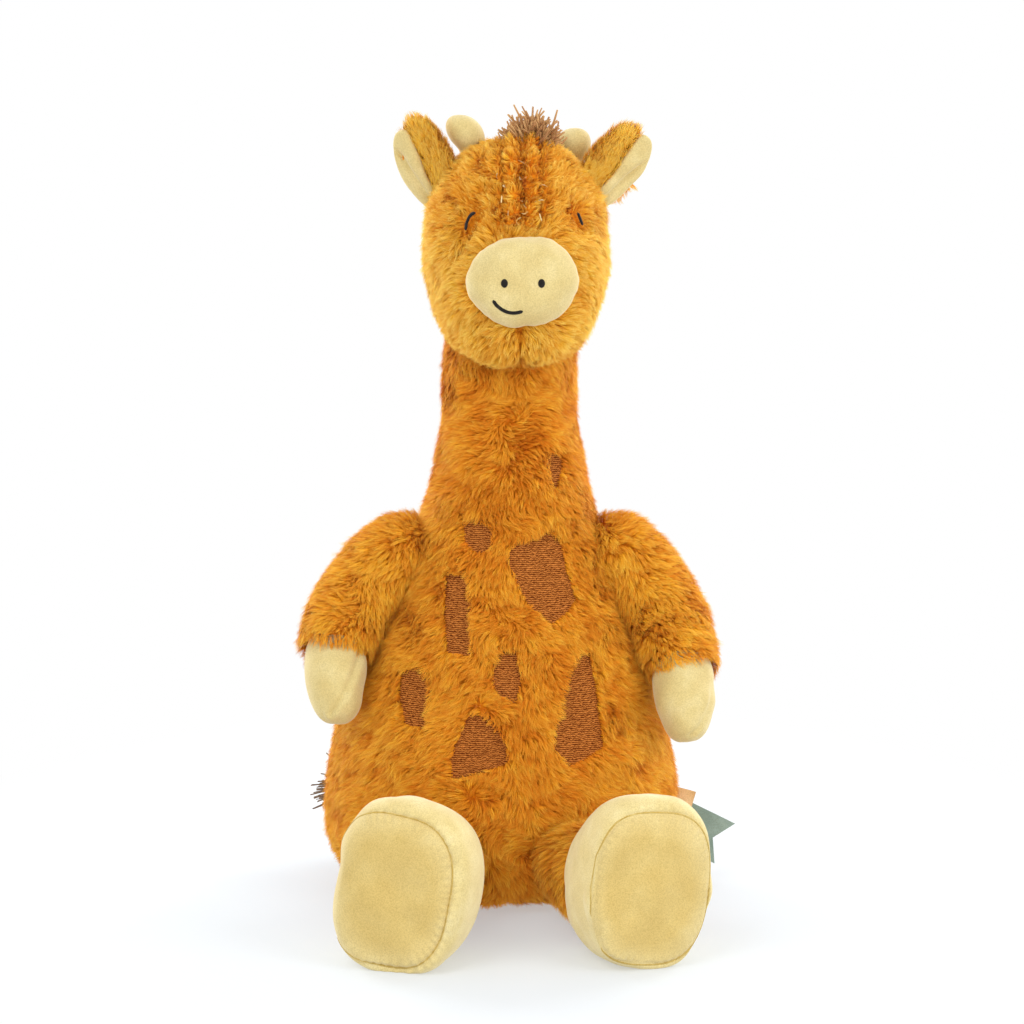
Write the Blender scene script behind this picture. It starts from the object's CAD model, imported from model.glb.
"""Looks of a seated plush giraffe: long golden pile, pale short-nap patches, sunken embroidery."""

import math
from types import SimpleNamespace

import bpy
import numpy as np
from mathutils import Matrix, Vector
from mathutils.bvhtree import BVHTree
from mathutils.kdtree import KDTree


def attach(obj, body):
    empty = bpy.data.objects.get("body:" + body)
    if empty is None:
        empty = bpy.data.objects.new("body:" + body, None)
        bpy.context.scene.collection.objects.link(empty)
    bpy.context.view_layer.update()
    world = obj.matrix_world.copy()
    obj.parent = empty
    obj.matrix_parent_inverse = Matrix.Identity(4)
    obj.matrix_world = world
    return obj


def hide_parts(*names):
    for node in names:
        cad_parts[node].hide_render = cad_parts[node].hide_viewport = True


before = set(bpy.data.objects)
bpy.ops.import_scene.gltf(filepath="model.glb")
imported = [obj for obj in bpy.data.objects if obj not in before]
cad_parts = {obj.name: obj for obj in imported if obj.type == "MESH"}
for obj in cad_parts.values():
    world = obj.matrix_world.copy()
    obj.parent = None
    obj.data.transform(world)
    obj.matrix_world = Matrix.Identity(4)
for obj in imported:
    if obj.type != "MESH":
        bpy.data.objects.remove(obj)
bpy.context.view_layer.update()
scene = bpy.context.scene
scene.view_settings.view_transform = "Standard"

TURN = 2 * math.pi
LEFT, RIGHT = 1, -1
SIDES = {LEFT: "left", RIGHT: "right"}


# Vectors and noise

def vec(*v):
    return np.array(v, float)


def unit(v):
    v = np.asarray(v, float)
    return v / np.maximum(np.linalg.norm(v, axis=-1, keepdims=True), 1e-12)


def dots(a, b):
    return np.einsum("ij,ij->i", a, b)


def level(v, normals):
    """The part of v that lies along the surface."""
    return v - normals * dots(v, normals)[:, None]


def blend(a, b, share):
    return a + (b - a) * share


def smooth_step(a, b, x):
    t = np.clip((x - a) / (b - a), 0, 1)
    return t * t * (3 - 2 * t)


def bump(distance, width):
    """A soft hill: 1 in the middle, falling off over the width."""
    return np.exp(-((distance / width) ** 2))


def keep(mask, *arrays):
    return [a[mask] for a in arrays]


def metres(points):
    return [(x / 1000, z / 1000) for x, z in points]


class Waves:
    """Smooth noise made of sines, the same on every run."""

    count = 24

    def __init__(self, seed, size):
        rng = np.random.default_rng(seed)
        self.k = unit(rng.normal(size=(self.count, 3))) * (TURN / size) * rng.uniform(0.6, 1.5, (self.count, 1))
        self.phase = rng.uniform(0, TURN, self.count)
        self.scale = math.sqrt(2.0 / self.count)

    def __call__(self, p):
        return np.sin(p @ self.k.T + self.phase).sum(axis=1) * self.scale


LUMPS = Waves(5, 0.045)
WOBBLE = Waves(6, 0.014)


# Shader nodes

def clean_tree(owner):
    owner.use_nodes = True
    owner.node_tree.nodes.clear()
    return owner.node_tree.nodes, owner.node_tree.links


def add(nodes, kind, inputs=None, **settings):
    """A shader node with its settings and its constant inputs."""
    made = nodes.new("ShaderNode" + kind)
    for name, value in settings.items():
        setattr(made, name, value)
    for name, value in (inputs or {}).items():
        made.inputs[name].default_value = value
    return made


def ramp(nodes, source, links, stops):
    """Colours along a factor."""
    node = add(nodes, "ValToRGB")
    elements = node.color_ramp.elements
    while len(elements) > 1:
        elements.remove(elements[-1])
    elements[0].position, elements[0].color = stops[0][0], (*stops[0][1], 1)
    for position, colour in stops[1:]:
        elements.new(position).color = (*colour, 1)
    links.new(source, node.inputs["Fac"])
    return node.outputs["Color"]


def mix_colour(nodes, links, factor, a, b, mode="MIX"):
    node = add(nodes, "Mix", data_type="RGBA", blend_type=mode)
    for socket, value in (("Factor_Float", factor), ("A_Color", a), ("B_Color", b)):
        target = next(s for s in node.inputs if s.identifier == socket)
        if isinstance(value, (int, float)):
            target.default_value = value
        else:
            links.new(value, target)
    return next(s for s in node.outputs if s.identifier == "Result_Color")


# Camera, light and floor

PHOTO_PIXELS = 1024
FOCAL_PIXELS = 2925
SENSOR_MM = 36
CAMERA_PLACE = (0.001, -1.5, 0.39)
CAMERA_DIP = 7.4

WORLD_LIGHT = 0.72
LAMPS = {  # place, size, power
    "key": ((-0.75, -1.25, 1.35), 0.9, 10.4),
    "fill": ((1.1, -1.0, 0.8), 0.9, 9.0),
    "top": ((0.0, 0.35, 1.7), 1.2, 3.2),
    "low fill": ((0.1, -1.35, 0.12), 0.8, 3.8),
    "rim left": ((-0.95, 0.75, 0.60), 0.6, 11.0),
    "rim right": ((0.95, 0.75, 0.60), 0.6, 11.0),
}
LAMP_AIM_HEIGHT = 0.2

FLOOR_REACH = 6.0
FLOOR_SHADE = 0.745
FLOOR_TINT = (0.96, 1.03, 1.09)
FLOOR_LIFT = 0.40                # the least share of plain white
SHADOW_REACH = (0.15, 0.36)      # the floor turns plain white between these distances
SHADOW_SHAPE = (1.0, 0.75, 1.0)


def camera():
    data = bpy.data.cameras.new("camera")
    cam = bpy.data.objects.new("camera", data)
    scene.collection.objects.link(cam)
    data.sensor_width = SENSOR_MM
    data.lens = FOCAL_PIXELS / PHOTO_PIXELS * SENSOR_MM
    data.clip_start = 0.05
    cam.location = CAMERA_PLACE
    cam.rotation_euler = (math.radians(90 - CAMERA_DIP), 0, 0)
    scene.camera = cam


def lights():
    """A white world as the camera sees it, a dimmer one as light, and six soft lamps."""
    scene.world = bpy.data.worlds.new("world")
    nodes, links = clean_tree(scene.world)
    out = add(nodes, "OutputWorld")
    light = add(nodes, "Background", {"Color": (1, 1, 1, 1), "Strength": WORLD_LIGHT})
    seen = add(nodes, "Background", {"Color": (1, 1, 1, 1), "Strength": 1.0})
    path = add(nodes, "LightPath")
    factor = path.outputs["Is Camera Ray"]
    for ray in ("Is Glossy Ray", "Is Transmission Ray"):
        either = add(nodes, "Math", operation="MAXIMUM")
        links.new(factor, either.inputs[0])
        links.new(path.outputs[ray], either.inputs[1])
        factor = either.outputs[0]
    mix = add(nodes, "MixShader")
    for source, target in ((factor, 0), (light.outputs[0], 1), (seen.outputs[0], 2)):
        links.new(source, mix.inputs[target])
    links.new(mix.outputs[0], out.inputs["Surface"])
    for name, (place, size, power) in LAMPS.items():
        data = bpy.data.lights.new(name, "AREA")
        data.shape = "SQUARE"
        data.size = size
        data.energy = power
        lamp = bpy.data.objects.new(name, data)
        lamp.location = place
        aim = Vector((-place[0], -place[1], LAMP_AIM_HEIGHT - place[2]))
        lamp.rotation_euler = aim.to_track_quat("-Z", "Y").to_euler()
        scene.collection.objects.link(lamp)


def floor():
    """A white sweep: it takes the soft shadow near the toy and is plain white further out."""
    mesh = bpy.data.meshes.new("floor")
    s = FLOOR_REACH
    mesh.from_pydata([(-s, -s, 0), (s, -s, 0), (s, s, 0), (-s, s, 0)], [], [(0, 1, 2, 3)])
    obj = bpy.data.objects.new("floor", mesh)
    scene.collection.objects.link(obj)
    mat = bpy.data.materials.new("floor")
    nodes, links = clean_tree(mat)
    out = add(nodes, "OutputMaterial")
    diffuse = add(nodes, "BsdfDiffuse", {"Color": (*(FLOOR_SHADE * tint for tint in FLOOR_TINT), 1)})
    white = add(nodes, "Emission", {"Color": (1, 1, 1, 1), "Strength": 1.0})
    where = add(nodes, "TexCoord")
    scaled = add(nodes, "VectorMath", {1: SHADOW_SHAPE}, operation="MULTIPLY")
    distance = add(nodes, "VectorMath", operation="LENGTH")
    low, high = SHADOW_REACH
    far = add(
        nodes, "MapRange", {"From Min": low, "From Max": high, "To Min": FLOOR_LIFT},
        interpolation_type="SMOOTHSTEP",
    )
    mix = add(nodes, "MixShader")
    for source, target in (
        (where.outputs["Object"], scaled.inputs[0]), (scaled.outputs["Vector"], distance.inputs[0]),
        (distance.outputs["Value"], far.inputs["Value"]), (far.outputs["Result"], mix.inputs["Fac"]),
        (diffuse.outputs[0], mix.inputs[1]), (white.outputs[0], mix.inputs[2]),
        (mix.outputs[0], out.inputs["Surface"]),
    ):
        links.new(source, target)
    mesh.materials.append(mat)


# Materials

def principled(name, roughness, sheen=0.0, sheen_tint=(1, 1, 1), specular=0.2):
    mat = bpy.data.materials.new(name)
    mat.use_nodes = True
    nodes, links = mat.node_tree.nodes, mat.node_tree.links
    shader = nodes["Principled BSDF"]
    shader.inputs["Roughness"].default_value = roughness
    shader.inputs["Specular IOR Level"].default_value = specular
    if sheen:
        shader.inputs["Sheen Weight"].default_value = sheen
        shader.inputs["Sheen Roughness"].default_value = 0.5
        shader.inputs["Sheen Tint"].default_value = (*sheen_tint, 1)
    return mat, nodes, links, shader


def nap(nodes, links, shader, height, strength, depth):
    bumps = add(nodes, "Bump", {"Strength": strength, "Distance": depth})
    links.new(height, bumps.inputs["Height"])
    links.new(bumps.outputs["Normal"], shader.inputs["Normal"])


def pile_material(name, dark, light):
    """Pile: its colour runs from root to tip along v, and u tells one tuft from the next."""
    mat, nodes, links, shader = principled(name, 0.75, 0.25, (1.0, 0.62, 0.18))
    uv = add(nodes, "UVMap", uv_map="OFBake")
    parts = add(nodes, "SeparateXYZ")
    links.new(uv.outputs["UV"], parts.inputs[0])
    deep, pale = (
        ramp(nodes, parts.outputs["Y"], links, list(zip((0.0, 0.5, 1.0), colours))) for colours in (dark, light)
    )
    links.new(mix_colour(nodes, links, parts.outputs["X"], deep, pale), shader.inputs["Base Color"])
    return mat


def cloth_material(name, base, dark, light, grain=0.0006, patch=0.012, rise=0.35, sheen=0.35):
    """Short-nap plush: brushed patches, fine grain and a soft sheen."""
    mat, nodes, links, shader = principled(name, 0.88, sheen, (1.0, 0.93, 0.72))
    coord = add(nodes, "TexCoord")
    big = add(nodes, "TexNoise", {"Scale": 1 / patch, "Detail": 3})
    fine = add(nodes, "TexNoise", {"Scale": 1 / grain, "Detail": 2})
    for noise in (big, fine):
        links.new(coord.outputs["Object"], noise.inputs["Vector"])
    shades = ramp(nodes, big.outputs["Fac"], links, ((0.30, dark), (0.52, base), (0.72, light)))
    grains = ramp(nodes, fine.outputs["Fac"], links, ((0.30, (0.80, 0.78, 0.74)), (0.62, (1.0, 1.0, 1.0))))
    links.new(mix_colour(nodes, links, 1.0, shades, grains, "MULTIPLY"), shader.inputs["Base Color"])
    rough = add(nodes, "MapRange", {"To Min": 0.78, "To Max": 0.98})
    links.new(fine.outputs["Fac"], rough.inputs["Value"])
    links.new(rough.outputs["Result"], shader.inputs["Roughness"])
    nap(nodes, links, shader, fine.outputs["Fac"], rise, 0.0004)
    return mat


def pale_rim(mat, inner, rim):
    """Lighter nap where the panel rolls over to its seam."""
    nodes, links = mat.node_tree.nodes, mat.node_tree.links
    colour = nodes["Principled BSDF"].inputs["Base Color"]
    base = colour.links[0].from_socket
    coord = add(nodes, "TexCoord")
    centred = add(nodes, "VectorMath", {1: (2, 0, 2), 2: (-1, 0, -1)}, operation="MULTIPLY_ADD")
    links.new(coord.outputs["Generated"], centred.inputs[0])
    reach = add(nodes, "VectorMath", operation="LENGTH")
    links.new(centred.outputs["Vector"], reach.inputs[0])
    shades = ramp(nodes, reach.outputs["Value"], links, ((inner, (1.0, 1.0, 1.0)), (1.0, rim)))
    links.new(mix_colour(nodes, links, 1.0, base, shades, "MULTIPLY"), colour)
    return mat


WAVE_PERIOD = 0.31416            # metres between a wave texture's bands at a scale of 1


def stitched_material(name, dark, light, pitch):
    """Rows of satin stitch: fine wavy threads, some lighter than others."""
    mat, nodes, links, shader = principled(name, 0.8, specular=0.06)
    coord = add(nodes, "TexCoord")
    rows = add(
        nodes, "TexWave", {"Scale": WAVE_PERIOD / pitch, "Distortion": 5.0, "Detail": 2, "Detail Scale": 3.0},
        bands_direction="Z",
    )
    links.new(coord.outputs["Object"], rows.inputs["Vector"])
    stretch = add(nodes, "Mapping", {"Scale": (650, 650, 1250)})
    links.new(coord.outputs["Object"], stretch.inputs["Vector"])
    thread = add(nodes, "TexNoise", {"Scale": 1.0})
    links.new(stretch.outputs["Vector"], thread.inputs["Vector"])
    both = mix_colour(nodes, links, 0.62, rows.outputs["Color"], thread.outputs["Color"])
    middle = tuple(a * 0.6 + b * 0.4 for a, b in zip(dark, light))
    shades = ramp(nodes, both, links, ((0.34, dark), (0.52, middle), (0.70, light)))
    links.new(shades, shader.inputs["Base Color"])
    nap(nodes, links, shader, both, 0.6, 0.0003)
    return mat


# dark tufts and light tufts, each from root to tip
FUR = pile_material(
    "fur_pile",
    ((0.59, 0.130, 0.002), (0.72, 0.190, 0.003), (0.82, 0.28, 0.008)),
    ((0.79, 0.228, 0.002), (0.94, 0.415, 0.009), (0.98, 0.66, 0.085)),
)
HEAD_FUR = pile_material(
    "head_pile",
    ((0.56, 0.130, 0.001), (0.71, 0.23, 0.004), (0.82, 0.345, 0.016)),
    ((0.79, 0.250, 0.002), (0.93, 0.485, 0.024), (0.97, 0.79, 0.175)),
)
YARN = pile_material(
    "brown_yarn",
    ((0.07, 0.025, 0.010), (0.22, 0.085, 0.028), (0.40, 0.18, 0.070)),
    ((0.14, 0.055, 0.022), (0.42, 0.200, 0.072), (0.62, 0.37, 0.155)),
)
TAIL_YARN = pile_material(
    "tail_yarn",
    ((0.06, 0.035, 0.022), (0.11, 0.065, 0.04), (0.20, 0.13, 0.09)),
    ((0.09, 0.055, 0.035), (0.20, 0.13, 0.085), (0.34, 0.25, 0.18)),
)

# colour, its darker and lighter patches, then the sizes of grain and patch, the nap's rise and its sheen
BACKING = cloth_material(
    "fur_backing", (0.78, 0.25, 0.005), (0.70, 0.20, 0.003), (0.86, 0.31, 0.010), 0.0015, 0.01, 0.6, 0.0
)
MINKY = cloth_material("minky_pale", (0.665, 0.535, 0.235), (0.62, 0.48, 0.195), (0.71, 0.59, 0.29), sheen=0.5)
SOLE = pale_rim(
    cloth_material("minky_sole", (0.62, 0.455, 0.155), (0.59, 0.425, 0.138), (0.65, 0.49, 0.180), sheen=0.45),
    0.70, (1.12, 1.20, 1.50),
)
SIDE = cloth_material("minky_side", (0.72, 0.585, 0.265), (0.67, 0.53, 0.22), (0.77, 0.65, 0.33), sheen=0.5)
FILLING = cloth_material("fibre_filling", (0.90, 0.90, 0.88), (0.85, 0.85, 0.83), (0.93, 0.93, 0.92), 0.001, 0.02)
BAG = cloth_material("bean_bag_cloth", (0.75, 0.75, 0.72), (0.70, 0.70, 0.67), (0.80, 0.80, 0.77), 0.0008, 0.02)
BLACK_THREAD = cloth_material(
    "black_thread", (0.012, 0.010, 0.009), (0.006, 0.005, 0.005), (0.03, 0.027, 0.024), 0.0004, 0.004, 0.3, 0.15
)
PALE_THREAD = cloth_material(
    "pale_thread", (0.90, 0.72, 0.34), (0.80, 0.60, 0.24), (0.95, 0.82, 0.50), 0.0005, 0.004, 0.3, 0.1
)
SEAM = cloth_material(
    "seam_shade", (0.56, 0.40, 0.115), (0.50, 0.34, 0.085), (0.63, 0.47, 0.165), 0.0005, 0.004, 0.3, 0.1
)
RIBBON = cloth_material(
    "ribbon_satin", (0.26, 0.345, 0.29), (0.22, 0.30, 0.25), (0.31, 0.40, 0.345), 0.0005, 0.01, 0.2, 0.2
)
TAB = cloth_material(
    "tab_weave", (0.80, 0.50, 0.235), (0.72, 0.43, 0.18), (0.86, 0.58, 0.31), 0.0005, 0.01, 0.2, 0.2
)
SPOT_THREAD = stitched_material("spot_thread", (0.105, 0.020, 0.002), (0.56, 0.190, 0.036), 0.0010)


# Forms: cages of rings, as soft sewn panels take their shape

def shrink(step):
    """How far smoothing draws in a ring whose points are this angle apart."""
    return (2 + math.cos(step)) / 3


def ring(centre, across, up, bow=(0, 0, 0)):
    return tuple(np.asarray(v, float) for v in (centre, across, up, bow))


class Form:
    """A closed smooth surface: points, outward normals and quads."""

    def __init__(self, points, quads):
        self.points = points
        self.quads = quads
        a, b, c, d = (points[quads[:, k]] for k in range(4))
        n = np.cross(c - a, d - b)
        total = np.zeros_like(points)
        for k in range(4):
            np.add.at(total, quads[:, k], n)
        self.normals = unit(total)
        self._tree = None

    def moved(self, amount):
        """The form with its points moved along their normals."""
        return Form(self.points + self.normals * np.broadcast_to(amount, len(self.points))[:, None], self.quads)

    def sculpted(self, height, *extra):
        return self.moved(height(self.points, self.normals, *extra))

    @property
    def tree(self):
        if self._tree is None:
            self._tree = BVHTree.FromPolygons(self.points.tolist(), self.quads.tolist())
        return self._tree

    def holds(self, points, margin=0.0):
        """Which points lie inside by more than the margin."""
        low, high = self.points.min(0) - 0.001, self.points.max(0) + 0.001
        result = np.zeros(len(points), bool)
        for i in np.nonzero(((points > low) & (points < high)).all(axis=1))[0]:
            place, normal, _, _ = self.tree.find_nearest(points[i])
            result[i] = (Vector(points[i]) - place).dot(normal) < -margin
        return result

    def scatter(self, rng, per_mm2, weight=None):
        """Random places on the surface, with their normals."""
        p, q = self.points, self.quads
        tri = np.concatenate([q[:, [0, 1, 2]], q[:, [0, 2, 3]]])
        a, b, c = p[tri[:, 0]], p[tri[:, 1]], p[tri[:, 2]]
        area = np.linalg.norm(np.cross(b - a, c - a), axis=1) / 2
        if weight is not None:
            area = area * weight(unit(np.cross(b - a, c - a)))
        count = int(area.sum() * 1e6 * per_mm2)
        pick = np.searchsorted(np.cumsum(area), rng.uniform(0, area.sum(), count))
        pick = np.minimum(pick, len(area) - 1)
        s, t = rng.uniform(size=(2, count))
        flip = s + t > 1
        s[flip], t[flip] = 1 - s[flip], 1 - t[flip]
        w = np.stack([1 - s - t, s, t], axis=1)
        places = np.einsum("ij,ijk->ik", w, p[tri[pick]])
        normals = unit(np.einsum("ij,ijk->ik", w, self.normals[tri[pick]]))
        return places, normals

    def front_hit(self, x, z):
        """Where a line from the front meets the form, and the normal there."""
        place, normal, _, _ = self.tree.ray_cast(Vector((x, -0.5, z)), Vector((0, 1, 0)))
        return (np.array(place), np.array(normal)) if place is not None else (None, None)


def tube_faces(rows, sides):
    """Quads of a tube of rings, with its two ends closed."""
    faces = []
    for r in range(rows - 1):
        for k in range(sides):
            j = (k + 1) % sides
            faces.append((r * sides + k, r * sides + j, (r + 1) * sides + j, (r + 1) * sides + k))
    faces.append(tuple(reversed(range(sides))))
    faces.append(tuple(range((rows - 1) * sides, rows * sides)))
    return faces


def form(rings, sides, levels=3, squareness=0):
    """The smooth form of a cage of rings."""
    swell = 1 / shrink(TURN / sides)
    verts = []
    for centre, across, up, bow in rings:
        for step in range(sides):
            c, s = math.cos(TURN * step / sides), math.sin(TURN * step / sides)
            reach = swell * (1 + squareness * (2 * s * c) ** 2)
            verts.append(centre + across * c * reach + up * s * reach + bow * c * c)
    mesh = bpy.data.meshes.new("cage")
    mesh.from_pydata([tuple(v) for v in verts], [], tube_faces(len(rings), sides))
    obj = bpy.data.objects.new("cage", mesh)
    scene.collection.objects.link(obj)
    mod = obj.modifiers.new("smooth", "SUBSURF")
    mod.levels = mod.render_levels = levels
    bpy.context.view_layer.update()
    seen = obj.evaluated_get(bpy.context.evaluated_depsgraph_get())
    got = seen.to_mesh()
    points = np.empty(len(got.vertices) * 3)
    got.vertices.foreach_get("co", points)
    quads = np.empty(len(got.loops), int)
    got.loops.foreach_get("vertex_index", quads)
    seen.to_mesh_clear()
    bpy.data.objects.remove(obj)
    bpy.data.meshes.remove(mesh)
    result = Form(points.reshape(-1, 3), quads.reshape(-1, 4))
    if dots(result.points - result.points.mean(0), result.normals).mean() < 0:
        result = Form(result.points, result.quads[:, ::-1])
    return result


def spine_rings(points, half_widths, half_heights, hint):
    rings = []
    for i, point in enumerate(points):
        ahead = unit(points[min(i + 1, len(points) - 1)] - points[max(i - 1, 0)])
        across = unit(hint - ahead * np.dot(hint, ahead))
        rings.append(ring(point, across * half_widths[i], np.cross(across, ahead) * half_heights[i]))
    return rings


def mesh_object(name, points, faces, material):
    mesh = bpy.data.meshes.new(name)
    mesh.from_pydata([tuple(p) for p in points], [], [tuple(f) for f in faces])
    mesh.materials.append(material)
    mesh.shade_smooth()
    obj = bpy.data.objects.new(name, mesh)
    scene.collection.objects.link(obj)
    return obj


def put(obj, body, slot_name, fill=None, *stands_for):
    """Give a piece its body and slot, its filling, and the solids that it stands for."""
    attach(obj, body)
    if stands_for:
        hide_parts(*stands_for)


def put_form(name, shape, material, body, slot_name, fill=None, *stands_for):
    put(mesh_object(name, shape.points, shape.quads.tolist(), material), body, slot_name, fill, *stands_for)


def tube(name, points, radii, material, sides, flat, normals):
    """A flattened tube along points that lie on a surface."""
    verts = []
    for i, p in enumerate(points):
        ahead = unit(points[min(i + 1, len(points) - 1)] - points[max(i - 1, 0)])
        up = unit(normals[i] - ahead * np.dot(normals[i], ahead))
        across = np.cross(ahead, up)
        for k in range(sides):
            a = TURN * k / sides
            verts.append(p + across * math.cos(a) * radii[i] + up * math.sin(a) * radii[i] * flat)
    return mesh_object(name, verts, tube_faces(len(points), sides), material)


def grid_faces(rows, columns):
    return [
        (a, a + columns + 1, a + columns + 2, a + 1)
        for i in range(rows) for a in range(i * (columns + 1), i * (columns + 1) + columns)
    ]


def line_gap(x, z, line):
    """Distance to a line of points, all as seen from the front."""
    best = np.full(len(x), 1.0)
    for (x1, z1), (x2, z2) in zip(line, line[1:]):
        dx, dz = x2 - x1, z2 - z1
        t = np.clip(((x - x1) * dx + (z - z1) * dz) / (dx * dx + dz * dz), 0, 1)
        best = np.minimum(best, np.hypot(x - x1 - dx * t, z - z1 - dz * t))
    return best


def outline_gap(x, z, outline):
    """Distance to a closed outline, negative within."""
    closed = outline + outline[:1]
    inside = np.zeros(len(x), bool)
    for (x1, z1), (x2, z2) in zip(closed, closed[1:]):
        crosses = (z1 > z) != (z2 > z)
        inside ^= crosses & (x < (x2 - x1) * (z - z1) / (z2 - z1 + 1e-15) + x1)
    best = line_gap(x, z, closed)
    return np.where(inside, -best, best)


# Sizes of the forms, in metres

PILE = 0.0053                    # from the skin's outside down to its cloth
BELLY = SimpleNamespace(wide=0.0925, deep=0.0745, height=0.060, back=0.006, aside=-0.0045)
SHOULDERS = SimpleNamespace(wide=0.0480, deep=0.0425, height=0.190)
NECK = SimpleNamespace(wide=0.0345, deep=0.0335)
NOD = 0.292                      # height at which the head nods
HEAD = SimpleNamespace(wide=0.0488, deep=0.0515, height=0.1145, below=0.0195, forward=0.004, aside=0.003)
FACE_SHIFT = 0.003
FACE_ASIDE = HEAD.aside + FACE_SHIFT
MUZZLE = SimpleNamespace(wide=0.0275, tall=0.0228, deep=0.026, rise=0.025, front=0.073)
LIMB_RADIUS = 0.0240
ARM_HOME = (0.0565, -0.006, 0.1735)
ARM_RADII = (0.0238, 0.0238, 0.0205)
ARM_END = {LEFT: vec(0.0325, -0.0330, -0.0560), RIGHT: vec(-0.0345, -0.0280, -0.0480)}
HAND = SimpleNamespace(long=0.0520, taken_in=0.0140, wide=0.0160, deep=0.0150, drop=0.8)
HAND_OUT = {LEFT: 0.05, RIGHT: -0.12}
LEG_HOME = (0.034, -0.08, 0.0285)
LEG_LENGTH = 0.0460
LEG_TAKEN_IN = 0.0100
LEG_SPLAY = {LEFT: math.radians(19), RIGHT: math.radians(14)}
FOOT = SimpleNamespace(long=0.0590, wide=0.0315, tall=0.0815)
FOOT_LEAN = {LEFT: math.radians(5), RIGHT: math.radians(10)}
EAR = SimpleNamespace(long=0.0415, wide=0.0165, thick=0.0032, cup=0.0075, apart=0.0375, back=0.004, rise=0.0646575)
EAR_AHEAD = {LEFT: unit(vec(0.56, -0.02, 0.83)), RIGHT: unit(vec(-0.36, -0.02, 0.93))}
EAR_FACING = {LEFT: vec(0.42, -0.86, -0.28), RIGHT: vec(-0.55, -0.83, -0.10)}
TAIL = SimpleNamespace(root=0.0070, radius=0.0065, reach=-0.0720, height=0.0400, gap=0.0030)
TAIL_CLOTH_INSET = 0.0030

# Shares of those sizes: rise, then widths and depths
SEAT_SHARES = ((0.00, 0.50), (0.06, 0.85), (0.42, 0.99), (1.0, 1.0))
BELLY_SHARES = ((0.33, 0.20), (0.68, 0.66), (1.0, 1.0))
NECK_SHARES = ((0.30, 0.70), (0.62, 1.0), (1.0, 1.0))
HEAD_SHARES = (
    (0.00, 0.40, 0.92, 0.05), (0.10, 0.76, 1.10, 0.60), (0.30, 0.93, 1.11, 0.92), (0.55, 1.02, 1.03, 1.02),
    (0.77, 0.91, 0.88, 0.98), (0.95, 0.60, 0.55, 0.70), (1.01, 0.24, 0.20, 0.26),
)
MUZZLE_SHARES = ((0.0, 0.46), (0.10, 0.86), (0.40, 1.03), (0.64, 1.01), (0.90, 0.84), (1.01, 0.42))
ARM_SHARES = ((0.38, 0.06, 0.24), (0.74, 0.36, 0.58), (1.0, 1.0, 1.0))
HAND_SHARES = ((0.0, 0.62), (0.14, 0.92), (0.54, 1.02), (0.88, 0.74), (1.01, 0.34))
FOOT_SHARES = (
    (0.00, 0.52, 0.14, 0.54), (0.12, 0.88, 0.02, 0.74), (0.48, 1.02, -0.01, 0.97),
    (0.88, 1.00, -0.01, 1.01), (1.01, 0.88, 0.03, 0.95), (1.01, 0.42, 0.28, 0.72),
)
EAR_SHARES = (
    (-0.04, 0.66, 0.40, 0.0), (0.10, 0.88, 0.90, 0.25), (0.52, 1.08, 1.0, 1.1), (0.88, 0.66, 0.8, 0.4),
    (1.01, 0.22, 0.5, 0.05),
)
TAIL_SHARES = (0.22, 0.50, 0.78, 1.0)
DOME_ANGLES = (36, 72)           # rings of a ball's end


def torso_rings():
    rings = []
    for rise, size in SEAT_SHARES:
        centre = (BELLY.aside, -BELLY.back, BELLY.height * rise - 0.0005)
        rings.append(ring(centre, (BELLY.wide * size, 0, 0), (0, BELLY.deep * size, 0)))
    for rise, share in BELLY_SHARES:
        wide, deep = blend(BELLY.wide, SHOULDERS.wide, share), blend(BELLY.deep, SHOULDERS.deep, share)
        height = blend(BELLY.height, SHOULDERS.height, rise)
        centre = (BELLY.aside * (1 - share), -BELLY.back * (1 - share), height)
        rings.append(ring(centre, (wide, 0, 0), (0, deep, 0)))
    for rise, share in NECK_SHARES:
        wide, deep = blend(SHOULDERS.wide, NECK.wide, share), blend(SHOULDERS.deep, NECK.deep, share)
        rings.append(ring((0, 0, blend(SHOULDERS.height, NOD, rise)), (wide, 0, 0), (0, deep, 0)))
    dome = NECK.deep / shrink(math.radians(DOME_ANGLES[0]))
    for angle in DOME_ANGLES:
        c, s = math.cos(math.radians(angle)), math.sin(math.radians(angle))
        rings.append(ring((0, 0, NOD + dome * s), (NECK.wide * c, 0, 0), (0, NECK.deep * c, 0)))
    return rings


def head_rings():
    rings = []
    for rise, width, front, back in HEAD_SHARES:
        middle = (back - front) / 2 * HEAD.deep - HEAD.forward
        centre = (HEAD.aside, middle, NOD + HEAD.height * rise - HEAD.below)
        rings.append(ring(centre, (HEAD.wide * width, 0, 0), (0, (back + front) / 2 * HEAD.deep, 0)))
    return rings


def muzzle_rings():
    return [
        ring(
            (FACE_ASIDE, -MUZZLE.front + MUZZLE.deep * (1 - ahead), NOD + MUZZLE.rise),
            (MUZZLE.wide * size, 0, 0), (0, 0, MUZZLE.tall * size),
        )
        for ahead, size in MUZZLE_SHARES
    ]


def ball_points(radius, ahead):
    """Centres and radii of a limb's ball root."""
    swell = radius / shrink(math.radians(DOME_ANGLES[0]))
    angles = [math.radians(a) for a in reversed(DOME_ANGLES)]
    points = [-ahead * swell * math.sin(a) for a in angles] + [vec(0, 0, 0)]
    return points, [radius * math.cos(a) for a in angles] + [radius]


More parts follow.
